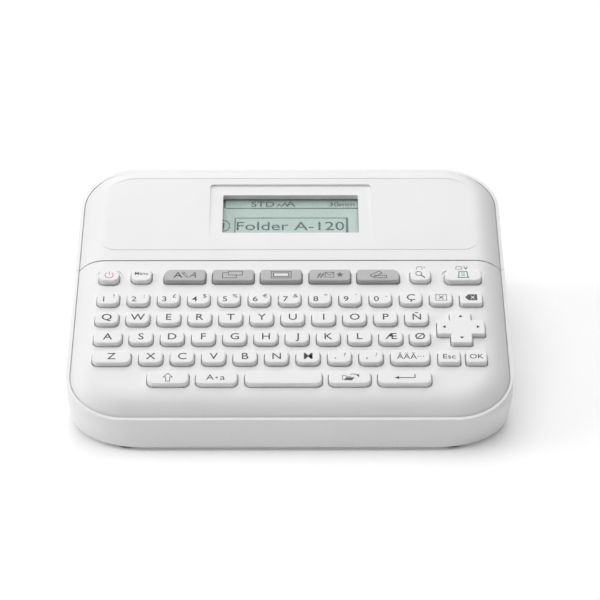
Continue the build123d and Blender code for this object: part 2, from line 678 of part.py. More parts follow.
with BuildPart() as tape_cassette:
    add(slab(CASSETTE_X, CASSETTE_Y, CASSETTE_Z))
    fillet(tape_cassette.edges().filter_by(Axis.Z), 5)
    fillet(tape_cassette.faces().sort_by(Axis.Z)[-1].edges(), 0.8)
    # recess around the print head, spool chamber, take-up hub and the tape channel in the front arm
    add(slab((HEAD_X[0] - 3, HEAD_X[1] + 3), (0, HEAD_Y[1] + 7.5), (0, 60)), mode=Mode.SUBTRACT)
    add(slab((-90, FEED_AT[0] + 5), (0, SLOT_Y + 0.6), (0, 60)), mode=Mode.SUBTRACT)
    chamber_z = (CASSETTE_Z[0] + 1.5, CASSETTE_Z[1] - 1.5)
    add(rod(*SPOOL_AT, chamber_z, SPOOL_R + 1.2), mode=Mode.SUBTRACT)
    add(rod(*TAKEUP_AT, (0, CASSETTE_Z[1] - 1.5), 5.0), mode=Mode.SUBTRACT)
    for x_range, y_range in tape_path(0.6):
        add(slab(x_range, y_range, (TAPE_Z[0] - 0.3, TAPE_Z[1] + 0.3)), mode=Mode.SUBTRACT)
    # sight window over the spool
    window_x = (SPOOL_AT[0] - 9, SPOOL_AT[0] + 9)
    add(slab(window_x, (SPOOL_AT[1] - 4, SPOOL_AT[1] + 4), (CASSETTE_Z[1] - 2, 60)), mode=Mode.SUBTRACT)
save(tape_cassette, "tape_cassette")

with BuildPart() as tape_spool:
    add(rod(*SPOOL_AT, TAPE_Z, SPOOL_R))
    add(rod(*SPOOL_AT, (0, 60), 6.05), mode=Mode.SUBTRACT)
    add(rod(*SPOOL_AT, (TAPE_Z[0] - 0.8, TAPE_Z[1] + 0.8), 6.0))
    add(rod(*SPOOL_AT, (0, 60), 3.0), mode=Mode.SUBTRACT)
save(tape_spool, "tape_spool")

with BuildPart() as label_tape:
    for x_range, y_range in tape_path(0.08):
        add(slab(x_range, y_range, TAPE_Z))
save(label_tape, "label_tape")

# ---------------------------------------------------------------- cutter
BLADE_X = (-89.5, -88.7)
BLADE_Y = (SLOT_Y + 3.5, 33.2)
CUT_Z = (DECK_Z + 2.6, DECK_Z + 22.4)
RAMP_GAP = 0.2

with BuildPart() as cutter_blade:
    add(slab(BLADE_X, BLADE_Y, CUT_Z))
    chamfer(cutter_blade.edges().filter_by(Axis.Z).group_by(Axis.Y)[0].sort_by(Axis.X)[-1], 0.7)
save(cutter_blade, "cutter_blade")

with BuildPart() as blade_carrier:
    with BuildSketch(Plane.XY.offset(DECK_Z + 5)):
        Polygon(
            (BLADE_X[1], BLADE_Y[0] + 4.5),
            (BLADE_X[1] + 4, BLADE_Y[0] + 4.5),
            (BLADE_X[1] + 4, 38.1),
            (BLADE_X[1], 34.1),
            align=None,
        )
    extrude(amount=14)
save(blade_carrier, "blade_carrier")

with BuildPart() as fixed_blade:
    add(slab((-88.5, -87.9), (SLOT_Y - 7.5, SLOT_Y - 1.3), (DECK_Z, DECK_Z + 22)))
save(fixed_blade, "fixed_blade")

RAMP_X = -90.0
RAMP_Y = 34.1 + (RAMP_X - BLADE_X[1]) + RAMP_GAP * 2**0.5
with BuildPart() as cutter_button:
    pad_y = (BUTTON_Y[0] + 0.3, BUTTON_Y[1] - 0.3)
    pad_z = (BUTTON_Z[0] + 0.3, BUTTON_Z[1] - 0.3)
    add(slab((-93.7, RAMP_X), pad_y, pad_z))
    fillet(cutter_button.faces().sort_by(Axis.X)[0].edges(), 0.6)
    add(slab((-91.4, RAMP_X), (BUTTON_Y[0] - 1, BUTTON_Y[1] + 1.4), (BUTTON_Z[0] - 1.4, BUTTON_Z[1] + 1.4)))
    with BuildSketch(Plane.XY.offset(DECK_Z + 6)):
        Polygon((RAMP_X, RAMP_Y), (RAMP_X + 4.5, RAMP_Y + 4.5), (RAMP_X + 4.5, 44), (RAMP_X, 44), align=None)
    extrude(amount=12)
    for groove in range(4):
        ridge_z = 28 + 2.7 * groove
        add(slab((-95, -93.3), (BUTTON_Y[0] + 3, BUTTON_Y[1] - 3), (ridge_z, ridge_z + 0.9)), mode=Mode.SUBTRACT)
save(cutter_button, "cutter_button")

# ---------------------------------------------------------------- lid release
with BuildPart() as lid_release:
    pad_y = (RELEASE_Y[0] + 0.3, RELEASE_Y[1] - 0.3)
    add(slab((88.4, 93.7), pad_y, (RELEASE_Z[0] + 0.3, RELEASE_Z[1] - 0.3)))
    fillet(lid_release.faces().sort_by(Axis.X)[-1].edges(), 0.6)
    add(slab((90.0, 91.4), (RELEASE_Y[0] - 1.4, RELEASE_Y[1] + 1.4), (RELEASE_Z[0] - 1.4, RELEASE_Z[1] + 0.6)))
    add(slab((85.6, 88.5), (RELEASE_Y[0] + 2, RELEASE_Y[1] - 2), (RELEASE_Z[0] + 2, 38.3)))
    add(slab((87.0, 88.4), (RELEASE_Y[0] + 2, RELEASE_Y[1] - 2), (26, 35.8)), mode=Mode.SUBTRACT)
    add(slab((86.9, 90.1), pad_y, (RELEASE_Z[0] + 0.3, RELEASE_Z[0] + 4)))
save(lid_release, "lid_release")

# ---------------------------------------------------------------- display lid
POCKET_X = (-35.8, 36.3)
POCKET_S = (95.8, 135.0)
WINDOW_X = (-30.0, 30.5)
WINDOW_S = (103.8, 128.7)
POCKET_DEPTH = 0.9
LENS_N = 3.3
LENS_T = 0.8
LENS_GAP = 0.2
PANEL_X = (-84.2, 83.8)
PANEL_S = (92.6, 139.1)
GROOVE_W = 0.45
GROOVE_D = 0.2

with BuildPart() as lid_top:
    add(pillow(GAP, REBATE))
    add(pillow(GAP + SKIN, REBATE + 1.0), mode=Mode.SUBTRACT)
    split(bisect_by=across_slope(SEAM_S + SEAM_GAP), keep=Keep.TOP)
    # frame of the display well, then the sloping well and the window through it
    with BuildSketch(TOP.offset(LENS_N)):
        with Locations(((POCKET_X[0] + POCKET_X[1]) / 2, (POCKET_S[0] + POCKET_S[1]) / 2)):
            Rectangle(POCKET_X[1] - POCKET_X[0] + 3, POCKET_S[1] - POCKET_S[0] + 3)
    extrude(amount=CROWN - SKIN - LENS_N + 0.5)
    well_tilt = POCKET_DEPTH / (POCKET_S[1] - POCKET_S[0])
    well_normal = TOP.z_dir + TOP.y_dir * well_tilt
    well = Plane(origin=on_top(0, POCKET_S[0], CROWN), x_dir=(1, 0, 0), z_dir=well_normal)
    with BuildSketch(well):
        with Locations(((POCKET_X[0] + POCKET_X[1]) / 2, (POCKET_S[1] - POCKET_S[0]) / 2)):
            RectangleRounded(POCKET_X[1] - POCKET_X[0], POCKET_S[1] - POCKET_S[0], 1.5)
    extrude(amount=6, mode=Mode.SUBTRACT)
    with BuildSketch(TOP):
        with Locations(((WINDOW_X[0] + WINDOW_X[1]) / 2, (WINDOW_S[0] + WINDOW_S[1]) / 2)):
            RectangleRounded(WINDOW_X[1] - WINDOW_X[0], WINDOW_S[1] - WINDOW_S[0], 0.8)
    extrude(amount=10, mode=Mode.SUBTRACT)
    # fine groove that outlines the raised centre panel
    with BuildSketch(TOP.offset(CROWN - GROOVE_D)):
        with Locations(((PANEL_X[0] + PANEL_X[1]) / 2, (PANEL_S[0] + PANEL_S[1]) / 2)):
            with BuildSketch(Plane.XY, mode=Mode.PRIVATE) as panel_line:
                Rectangle(PANEL_X[1] - PANEL_X[0], PANEL_S[1] - PANEL_S[0])
                fillet(panel_line.vertices().group_by(Axis.Y)[-1], 15)
                fillet(panel_line.vertices().group_by(Axis.Y)[0], 8)
                offset(amount=-GROOVE_W, mode=Mode.SUBTRACT)
            add(panel_line.sketch)
    extrude(amount=3, mode=Mode.SUBTRACT)
save(lid_top, "lid_top")

LENS_X = (WINDOW_X[0] - 2, WINDOW_X[1] + 2)
LENS_S = (WINDOW_S[0] - 2, WINDOW_S[1] + 2)


def window_plate(grow, low, high):
    """A plate under the display window between two heights off the rim plane."""
    with BuildPart() as form:
        with BuildSketch(TOP.offset(low)):
            with Locations(((LENS_X[0] + LENS_X[1]) / 2, (LENS_S[0] + LENS_S[1]) / 2)):
                Rectangle(LENS_X[1] - LENS_X[0] + 2 * grow, LENS_S[1] - LENS_S[0] + 2 * grow)
        extrude(amount=high - low)
    return form.part


with BuildPart() as display_window:
    add(window_plate(0, LENS_N - LENS_T, LENS_N))
save(display_window, "display_window")

with BuildPart() as lcd_panel:
    add(window_plate(0, LENS_N - LENS_T - 2.4, LENS_N - LENS_T - LENS_GAP))
save(lcd_panel, "lcd_panel")

with BuildPart() as lcd_board:
    add(window_plate(3.5, LENS_N - LENS_T - 4.0, LENS_N - LENS_T - 2.4))
save(lcd_board, "lcd_board")

with BuildPart() as lcd_holder:
    add(window_plate(3.5, LENS_N - LENS_T - 2.4, LENS_N))
    add(window_plate(0.05, LENS_N - LENS_T - 2.5, LENS_N + 1), mode=Mode.SUBTRACT)
save(lcd_holder, "lcd_holder")

with BuildPart() as lid_frame:
    add(lid_hull(0))
    add(lid_hull(WALL), mode=Mode.SUBTRACT)
    add(rim_block(3.0, -8, 60), mode=Mode.SUBTRACT)
    # front wall of the lid, square to the slope
    with BuildPart(mode=Mode.PRIVATE) as front_wall:
        add(lid_hull(0.5))
        split(bisect_by=across_slope(SEAM_S + SEAM_GAP), keep=Keep.TOP)
        split(bisect_by=across_slope(SEAM_S + SEAM_GAP + SKIN), keep=Keep.BOTTOM)
    add(front_wall.part)
    split(bisect_by=across_slope(SEAM_S + SEAM_GAP), keep=Keep.TOP)
    add(rim_block(0, -REBATE, 60), mode=Mode.SUBTRACT)
    add(slab((-100, 100), (-100, 100), (-100, SPLIT_Z)), mode=Mode.SUBTRACT)
    # hinge barrel between the case knuckles, and room for the knuckles
    add(slab((-BARREL_HALF, BARREL_HALF), (HINGE_Y - 3.2, 100), (0, HINGE_Z)), mode=Mode.SUBTRACT)
    add(cross_rod((-BARREL_HALF, BARREL_HALF), HINGE_Y, HINGE_Z, BARREL_R))
    for side in (-1, 1):
        inner = side * (BARREL_HALF + 0.2)
        outer = side * (BARREL_HALF + 0.8 + KNUCKLE_W)
        span = (min(inner, outer), max(inner, outer))
        add(slab(span, (HINGE_Y - 4, 100), (0, HINGE_Z + BARREL_R + 0.6)), mode=Mode.SUBTRACT)
        bore = (min(side * 50, side * 70), max(side * 50, side * 70))
        add(cross_rod(bore, HINGE_Y, HINGE_Z, PIN_R + PIN_PLAY), mode=Mode.SUBTRACT)
    # catch for the release button
    add(slab((89.9, 91.5), (RELEASE_Y[0] + 2, RELEASE_Y[1] - 2), (35.0, SPLIT_Z + 8)))
    add(slab((91.4, 92.4), (RELEASE_Y[0] + 2, RELEASE_Y[1] - 2), (SPLIT_Z + 0.4, SPLIT_Z + 8)))
    add(slab((88.8, 90.0), (RELEASE_Y[0] + 2, RELEASE_Y[1] - 2), (35.0, 36.0)))
save(lid_frame, "lid_frame")

with BuildPart() as hinge_pins:
    for side in (-1, 1):
        span = (min(side * 51, side * 72), max(side * 51, side * 72))
        add(cross_rod(span, HINGE_Y, HINGE_Z, PIN_R))
save(hinge_pins, "hinge_pins")
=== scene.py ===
"""Desktop label maker: camera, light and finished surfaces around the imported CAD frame."""

import json
from math import cos, pi, radians, sin

import bmesh
import bpy
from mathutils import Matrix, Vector


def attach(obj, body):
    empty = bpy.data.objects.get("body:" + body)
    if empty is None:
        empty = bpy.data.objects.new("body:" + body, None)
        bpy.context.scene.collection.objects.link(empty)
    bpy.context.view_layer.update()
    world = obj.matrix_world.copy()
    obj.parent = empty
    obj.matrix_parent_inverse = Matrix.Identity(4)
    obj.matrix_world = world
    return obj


MM = 0.001
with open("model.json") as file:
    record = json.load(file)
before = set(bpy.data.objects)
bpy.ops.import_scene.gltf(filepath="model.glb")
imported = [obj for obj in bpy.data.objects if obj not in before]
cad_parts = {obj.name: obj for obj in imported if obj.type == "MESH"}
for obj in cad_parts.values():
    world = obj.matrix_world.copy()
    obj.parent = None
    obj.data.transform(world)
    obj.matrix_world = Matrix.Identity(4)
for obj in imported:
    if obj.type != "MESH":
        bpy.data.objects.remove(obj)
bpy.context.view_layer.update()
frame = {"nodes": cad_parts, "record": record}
nodes = frame["nodes"]
scene = bpy.context.scene

# ---------------------------------------------------------------- the sloping top, as in the CAD
SLOPE = radians(21.0)
RIM = Vector((0.0, -87.0, 15.3)) * MM
UP_SLOPE = Vector((0.0, cos(SLOPE), sin(SLOPE)))
OFF_TOP = Vector((0.0, -sin(SLOPE), cos(SLOPE)))


def on_top(x, s, n):
    """A point given in millimetres across, up the slope and off the rim plane."""
    return RIM + Vector((x * MM, 0.0, 0.0)) + UP_SLOPE * (s * MM) + OFF_TOP * (n * MM)


def to_top(point):
    """Millimetres across, up the slope and off the rim plane of a point of the frame."""
    offset = (Vector(point) - RIM) / MM
    return offset.x, offset.dot(UP_SLOPE), offset.dot(OFF_TOP)


# ---------------------------------------------------------------- camera
CAMERA_AT = Vector((0.0020, -0.9508, 0.4623))
LOOK_AT = Vector((0.0044, 0.0, 0.0292))

camera_data = bpy.data.cameras.new("camera")
camera_data.lens = 141.24
camera_data.sensor_width = 36.0
camera_data.clip_end = 20.0
camera = bpy.data.objects.new("camera", camera_data)
camera.location = CAMERA_AT
camera.rotation_euler = (LOOK_AT - CAMERA_AT).to_track_quat("-Z", "Y").to_euler()
scene.collection.objects.link(camera)
scene.camera = camera
scene.view_settings.view_transform = "Standard"

# ---------------------------------------------------------------- light
AMBIENT = 0.095


def area_light(name, place, size, power):
    """A square soft box that points at the middle of the object."""
    data = bpy.data.lights.new(name, "AREA")
    data.size = size
    data.energy = power
    light = bpy.data.objects.new(name, data)
    light.location = place
    aim = Vector((0.0, 0.0, 0.02)) - Vector(place)
    light.rotation_euler = aim.to_track_quat("-Z", "Y").to_euler()
    scene.collection.objects.link(light)


world = bpy.data.worlds.new("studio")
world.use_nodes = True
world.node_tree.nodes["Background"].inputs["Color"].default_value = (1.0, 1.0, 1.0, 1.0)
world.node_tree.nodes["Background"].inputs["Strength"].default_value = AMBIENT
scene.world = world
area_light("top_box", (0.0, 0.1, 1.4), 1.8, 17.4)
area_light("left_box", (-1.2, 0.0, 0.6), 1.0, 8.3)
area_light("rear_box", (0.0, 1.2, 0.9), 1.2, 5.6)
area_light("front_box", (0.0, -0.6, 1.3), 1.0, 2.8)


# ---------------------------------------------------------------- material helpers
class Surface:
    """A node material built round one Principled shader, in object coordinates (metres)."""

    def __init__(self, name, colour, roughness, **sockets):
        self.material = bpy.data.materials.new(name)
        self.material.use_nodes = True
        self.tree = self.material.node_tree
        self.shader = self.tree.nodes["Principled BSDF"]
        self.shader.inputs["Base Color"].default_value = (*colour, 1.0)
        self.shader.inputs["Roughness"].default_value = roughness
        for label, value in sockets.items():
            self.shader.inputs[label.replace("_", " ")].default_value = value
        self.where = self.tree.nodes.new("ShaderNodeTexCoord").outputs["Object"]
        self.height = None

    def node(self, kind, inputs=(), **settings):
        """A node with its settings, and its inputs set to values or linked to sockets."""
        made = self.tree.nodes.new(kind)
        for key, value in settings.items():
            setattr(made, key, value)
        for key, value in dict(inputs).items():
            if isinstance(value, bpy.types.NodeSocket):
                self.tree.links.new(value, made.inputs[key])
            else:
                made.inputs[key].default_value = value
        return made

    def stretched(self, scale):
        """Object coordinates multiplied axis by axis, for patterns with a direction."""
        return self.node("ShaderNodeMapping", {"Vector": self.where, "Scale": scale}).outputs[0]

    def noise(self, scale, detail=2.0, roughness=0.5, where=None):
        values = {"Vector": where or self.where, "Scale": scale, "Detail": detail, "Roughness": roughness}
        return self.node("ShaderNodeTexNoise", values).outputs["Fac"]

    def cells(self, scale, feature="F1", where=None):
        values = {"Vector": where or self.where, "Scale": scale}
        made = self.node("ShaderNodeTexVoronoi", values, feature=feature)
        return made.outputs["Distance"]

    def axis(self, name):
        """One object coordinate, in metres."""
        return self.node("ShaderNodeSeparateXYZ", {0: self.where}).outputs[name]

    def math(self, operation, first, second=0.0):
        return self.node("ShaderNodeMath", {0: first, 1: second}, operation=operation).outputs[0]

    def spread(self, value, low, high, centre=0.5, width=0.2):
        """A value about a centre, stretched to run from low to high."""
        limits = {"Value": value, "From Min": centre - width, "From Max": centre + width}
        limits.update({"To Min": low, "To Max": high})
        return self.node("ShaderNodeMapRange", limits).outputs["Result"]

    def tint(self, value, stops, hard=False):
        """Base colour from stops of (position, colour) along a value."""
        ramp = self.node("ShaderNodeValToRGB", {"Fac": value})
        ramp.color_ramp.interpolation = "CONSTANT" if hard else "LINEAR"
        ends = ramp.color_ramp.elements
        while len(ends) < len(stops):
            ends.new(0.5)
        for end, (position, colour) in zip(ends, sorted(stops)):
            end.position = position
            end.color = (*colour, 1.0)
        self.tree.links.new(ramp.outputs["Color"], self.shader.inputs["Base Color"])
        return ramp.outputs["Color"]

    def shade(self, value, colour, share):
        """Base colour that varies by a small share to both sides of one colour."""
        low = tuple(channel * (1.0 - share) for channel in colour)
        high = tuple(min(1.0, channel * (1.0 + share)) for channel in colour)
        return self.tint(self.spread(value, 0.0, 1.0), [(0.0, low), (1.0, high)])

    def rough(self, value, low, high):
        self.tree.links.new(self.spread(value, low, high), self.shader.inputs["Roughness"])

    def bump(self, value, height):
        """Adds relief of the given height, in metres, over any added before."""
        made = self.node("ShaderNodeBump", {"Height": value, "Distance": height})
        if self.height is not None:
            self.tree.links.new(self.height, made.inputs["Normal"])
        self.height = made.outputs["Normal"]
        self.tree.links.new(self.height, self.shader.inputs["Normal"])


def moulded(name, colour, roughness, grain=0.00001, share=0.012, **sockets):
    """Moulded plastic: fine spark-eroded grain, faint flow variation and uneven gloss."""
    surface = Surface(name, colour, roughness, **sockets)
    surface.shade(surface.noise(38.0, 3.0), colour, share)
    surface.rough(surface.noise(620.0, 4.0, 0.6), roughness - 0.05, roughness + 0.05)
    surface.bump(surface.noise(5200.0), grain)
    surface.bump(surface.noise(260.0, 1.0), grain * 0.9)
    return surface.material


def rubber(name, colour, roughness=0.75):
    """Matt rubber with a bloom of dust and a pebbled skin."""
    surface = Surface(name, colour, roughness)
    surface.shade(surface.noise(180.0, 5.0, 0.7), colour, 0.22)
    surface.rough(surface.noise(900.0, 4.0), roughness - 0.1, roughness + 0.12)
    surface.bump(surface.cells(3200.0), 0.00003)
    return surface.material


def metal(name, colour, roughness, along=(1.0, 1.0, 30.0), share=0.08):
    """Bare metal with drawn or rolled lines along one direction and faint stains."""
    surface = Surface(name, colour, roughness, Metallic=1.0)
    surface.shade(surface.noise(90.0, 5.0, 0.65), colour, share)
    lines = surface.noise(700.0, 3.0, 0.6, surface.stretched(along))
    surface.rough(lines, roughness - 0.1, roughness + 0.14)
    surface.bump(lines, 0.000006)
    return surface.material


def board(name):
    """Circuit board: green solder mask over copper tracks, with plated pads."""
    surface = Surface(name, (0.02, 0.16, 0.07), 0.35)
    tracks = surface.node(
        "ShaderNodeTexBrick",
        {"Vector": surface.stretched((1.0, 1.0, 0.0)), "Scale": 150.0, "Mortar Size": 0.06},
        offset=0.37,
    ).outputs["Fac"]
    surface.tint(tracks, [(0.0, (0.015, 0.13, 0.055)), (0.8, (0.05, 0.27, 0.11))])
    surface.rough(surface.noise(300.0), 0.28, 0.42)
    surface.bump(tracks, 0.00003)
    return surface.material


def cell_wrap(name):
    """Battery sleeve: dark along most of the cell with a copper band at the positive end."""
    surface = Surface(name, (0.05, 0.05, 0.06), 0.32, Metallic=0.7)
    first, pitch = -0.0188, 0.0536
    turn = surface.math("DIVIDE", surface.math("SUBTRACT", surface.axis("X"), first), pitch)
    along = surface.math("FRACT", turn)
    dark, copper, cap = (0.04, 0.042, 0.05), (0.62, 0.31, 0.14), (0.6, 0.6, 0.62)
    surface.tint(along, [(0.0, cap), (0.012, dark), (0.68, copper), (0.905, cap)], hard=True)
    surface.rough(surface.noise(400.0, 3.0), 0.26, 0.4)
    surface.bump(surface.noise(120.0), 0.00004)
    return surface.material


def lcd_glass(name):
    """Reflective display face: grey-green, with the faint grid of its picture elements."""
    surface = Surface(name, (0.40, 0.535, 0.49), 0.3)
    across = surface.math("PINGPONG", surface.axis("X"), 0.00024)
    up = surface.math("PINGPONG", surface.axis("Y"), 0.00024)
    grid = surface.math("MINIMUM", across, up)
    lit, gap = (0.405, 0.54, 0.495), (0.375, 0.505, 0.46)
    surface.tint(surface.spread(grid, 0.0, 1.0, 0.00002, 0.00002), [(0.0, gap), (1.0, lit)])
    surface.rough(surface.noise(500.0), 0.25, 0.36)
    return surface.material


def window(name):
    """Clear display window: mostly open, with a hard gloss and a trace of haze."""
    surface = Surface(name, (0.93, 0.97, 0.96), 0.06, Alpha=0.07, IOR=1.49)
    surface.rough(surface.noise(200.0, 4.0), 0.04, 0.1)
    surface.bump(surface.noise(45.0, 1.0), 0.00002)
    return surface.material


def tape(name):
    """Laminated label tape: glossy film with very faint lengthwise lines."""
    surface = Surface(name, (0.86, 0.86, 0.84), 0.2, **{"Coat Weight": 0.4})
    surface.shade(surface.noise(60.0, 3.0), (0.86, 0.86, 0.84), 0.02)
    lines = surface.noise(900.0, 2.0, 0.5, surface.stretched((0.05, 1.0, 1.0)))
    surface.rough(lines, 0.16, 0.3)
    surface.bump(lines, 0.000008)
    return surface.material


def ink(name, colour, roughness=0.45):
    """Pad-printed ink: nearly even, with slight mottling where it lies thin."""
    surface = Surface(name, colour, roughness)
    surface.shade(surface.noise(900.0, 3.0, 0.6), colour, 0.12)
    surface.rough(surface.noise(1400.0), roughness - 0.06, roughness + 0.08)
    return surface.material


materials = {
    "shell_white": moulded("shell_white", (0.80, 0.80, 0.80), 0.42),
    "key_white": moulded("key_white", (0.82, 0.82, 0.82), 0.36, grain=0.000006),
    "key_grey": moulded("key_grey", (0.45, 0.45, 0.455), 0.38, grain=0.000006, share=0.02),
    "feet_rubber": rubber("feet_rubber", (0.16, 0.16, 0.17)),
    "mat_rubber": rubber("mat_rubber", (0.5, 0.5, 0.5), 0.7),
    "roller_rubber": rubber("roller_rubber", (0.03, 0.03, 0.032)),
    "window_clear": window("window_clear"),
    "lcd_face": lcd_glass("lcd_face"),
    "board_green": board("board_green"),
    "inner_grey": moulded("inner_grey", (0.30, 0.31, 0.33), 0.55, grain=0.00002, share=0.05),
    "gear_acetal": moulded(
        "gear_acetal", (0.78, 0.76, 0.70), 0.36, share=0.03, **{"Subsurface Weight": 0.05}
    ),
    "pinion_brass": metal("pinion_brass", (0.78, 0.57, 0.25), 0.3),
    "steel": metal("steel", (0.62, 0.62, 0.63), 0.33),
    "head_ceramic": moulded("head_ceramic", (0.07, 0.05, 0.04), 0.2, grain=0.000004, share=0.1),
    "heatsink_aluminium": metal("heatsink_aluminium", (0.78, 0.79, 0.8), 0.36, (30.0, 1.0, 1.0)),
    "cassette_dark": moulded("cassette_dark", (0.045, 0.046, 0.05), 0.5, grain=0.00002, share=0.1),
    "tape_white": tape("tape_white"),
    "cell_wrap": cell_wrap("cell_wrap"),
    "socket_metal": metal("socket_metal", (0.58, 0.58, 0.6), 0.28, (1.0, 20.0, 1.0)),
    "socket_black": moulded("socket_black", (0.02, 0.02, 0.021), 0.4, share=0.15),
}
for subpart in frame["record"]["subparts"]:
    target = nodes[subpart["node"]].data
    target.materials.clear()
    target.materials.append(materials[subpart["material_slot"]])

INK_DARK = ink("ink_dark", (0.055, 0.055, 0.06))
INK_SOFT = ink("ink_soft", (0.10, 0.10, 0.105))
INK_GREEN = ink("ink_green", (0.0, 0.26, 0.13))
INK_RED = ink("ink_red", (0.78, 0.10, 0.22))
INK_LIGHT = ink("ink_light", (0.72, 0.72, 0.72))
INK_LCD = ink("ink_lcd", (0.012, 0.035, 0.04), 0.35)

# ---------------------------------------------------------------- printed marks
INK_T = 0.03


class Print:
    """Flat marks drawn in millimetres, made into one thin closed mesh on the sloping top."""

    def __init__(self):
        self.mesh = bmesh.new()

    def shape(self, points):
        """A filled outline, given anticlockwise."""
        self.mesh.faces.new([self.mesh.verts.new((x, y, 0.0)) for x, y in points])

    def line(self, points, width, closed=False):
        """A stroke of even width through the points, mitred at its corners."""
        points = [Vector(point) for point in points]
        count = len(points)
        left, right = [], []
        for i, point in enumerate(points):
            before = points[i - 1] if closed or i else None
            after = points[(i + 1) % count] if closed or i < count - 1 else None
            inward = (point - before).normalized() if before is not None else None
            onward = (after - point).normalized() if after is not None else None
            if inward is None or onward is None:
                way = onward or inward
                side = Vector((-way.y, way.x)) * (width / 2)
            else:
                way = (inward + onward).normalized()
                side = Vector((-way.y, way.x))
                side *= width / 2 / max(0.35, side.dot(Vector((-onward.y, onward.x))))
            left.append(self.mesh.verts.new((*(point + side), 0.0)))
            right.append(self.mesh.verts.new((*(point - side), 0.0)))
        for i in range(count if closed else count - 1):
            j = (i + 1) % count
            self.mesh.faces.new((right[i], right[j], left[j], left[i]))

    def arc(self, x, y, radius, start, end, width, steps=20, squash=1.0):
        """A stroke along an arc, from one angle to another in degrees."""
        closed = abs(end - start) >= 360
        turns = [radians(start + (end - start) * i / steps) for i in range(steps + (not closed))]
        path = [(x + radius * cos(a), y + radius * squash * sin(a)) for a in turns]
        self.line(path, width, closed)

    def text(self, words, x, y, height, stretch=1.0, weight=0.0, lean=0.0, align="CENTER"):
        """Words whose capitals have the given height, centred on y; returns their width."""
        curve = bpy.data.curves.new("words", "FONT")
        curve.body = words
        curve.size = height / CAP_SHARE
        curve.offset = weight
        curve.shear = lean
        curve.resolution_u = 3
        probe = bpy.data.objects.new("words", curve)
        scene.collection.objects.link(probe)
        bpy.context.view_layer.update()
        flat = bpy.data.meshes.new_from_object(probe.evaluated_get(bpy.context.evaluated_depsgraph_get()))
        bpy.data.objects.remove(probe)
        low = min(v.co.x for v in flat.vertices)
        high = max(v.co.x for v in flat.vertices)
        start = {"CENTER": (low + high) / 2, "LEFT": low, "RIGHT": high}[align]
        for v in flat.vertices:
            v.co = Vector((x + (v.co.x - start) * stretch, y + v.co.y - height / 2, 0.0))
        self.mesh.from_mesh(flat)
        bpy.data.meshes.remove(flat)
        return (high - low) * stretch

    def place(self, name, material, body, height, lay=on_top):
        """Turns the marks into a piece that lies at a height and rides on a body."""
        bmesh.ops.remove_doubles(self.mesh, verts=self.mesh.verts, dist=1e-4)
        for face in self.mesh.faces:
            if face.normal.z == 0.0:
                face.normal_update()
            if face.normal.z < 0.0:
                face.normal_flip()
        raised = bmesh.ops.extrude_face_region(self.mesh, geom=self.mesh.faces[:], use_keep_orig=True)
        moved = {item for item in raised["geom"] if isinstance(item, bmesh.types.BMVert)}
        for v in self.mesh.verts:
            v.co = lay(v.co.x, v.co.y, height + (INK_T if v in moved else 0.0))
        bmesh.ops.recalc_face_normals(self.mesh, faces=self.mesh.faces[:])
        made = bpy.data.meshes.new(name)
        self.mesh.to_mesh(made)
        self.mesh.free()
        made.materials.append(material)
        piece = bpy.data.objects.new(name, made)
        scene.collection.objects.link(piece)
        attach(piece, body)
        return piece


CAP_SHARE = 0.69

body_of = {
    node: body for body, members in frame["record"]["behaviour"]["bodies"].items() for node in members
}


def caps(node):
    """Middle across, middle up the slope and height of each cap of a key node, left to right."""
    mesh = nodes[node].data
    faces = [[to_top(mesh.vertices[i].co) for i in face.vertices] for face in mesh.polygons]
    top = max(n for face in faces for _, _, n in face)
    spans = []
    for face in sorted(faces, key=lambda face: min(x for x, _, _ in face)):
        if min(n for _, _, n in face) < top - 0.02:
            continue
        across = [x for x, _, _ in face]
        up = [s for _, s, _ in face]
        if spans and min(across) < spans[-1][1] + 0.05:
            last = spans[-1]
            last[1] = max(last[1], max(across))
            last[2] = min(last[2], min(up))
            last[3] = max(last[3], max(up))
        else:
            spans.append([min(across), max(across), min(up), max(up)])
    return [((a + b) / 2, (c + d) / 2, top) for a, b, c, d in spans]


LETTER_H = 3.5
DIGIT_H = 2.9
SECOND_H = 2.1


def letter(marks, x, s, word):
    marks.text(word, x, s + 0.3, LETTER_H, 1.12, 0.02)


def pair(marks, x, s, main, second):
    """A digit low on the left of the cap and its shifted sign high on the right."""
    marks.text(main, x - 1.8, s - 0.55, DIGIT_H, 1.15, 0.015)
    marks.text(second, x + 2.5, s + 1.25, SECOND_H, 1.15, 0.0)


ROWS = {
    "keys_digits": ["1!", "2:", "3£", "4$", "5%", "6€", "7&", "8*", "9'", "0-", "Ç"],
    "keys_letters_q": list("QWERTYUIOPÑ"),
    "keys_letters_a": list("ASDFGHJKLÆØ"),
    "keys_letters_z": list("ZXCVBNM") + [".?", ",/"],
}
for node, words in ROWS.items():
    marks = Print()
    places = caps(node)
    for (x, s, _), word in zip(places, words):
        if len(word) == 1:
            letter(marks, x, s, word)
        elif word[0].isdigit():
            pair(marks, x, s, *word)
        else:
            marks.text(word[0], x - 1.8, s + 0.3, DIGIT_H, 1.0, 0.05)
            marks.text(word[1], x + 2.2, s + 1.0, SECOND_H, 1.1, 0.0)
    if node == "keys_letters_z":
        x, s, _ = places[-1]
        marks.text("ÂÄÃ···", x, s, 2.9, 1.0, 0.0)
    marks.place("legend_" + node, INK_DARK, body_of[node], places[0][2])


def legend(node, draw, material=INK_DARK, tag="legend_"):
    """One mark on a key's only cap; draw gets the marks and the middle of the cap."""
    x, s, top = caps(node)[0]
    marks = Print()
    draw(marks, x, s)
    return marks.place(tag + node, material, body_of[node], top)


def box_path(x, y, half_w, half_h):
    """The corners of a box about a middle, anticlockwise."""
    corners = ((-1, -1), (1, -1), (1, 1), (-1, 1))
    return [(x + half_w * across, y + half_h * up) for across, up in corners]


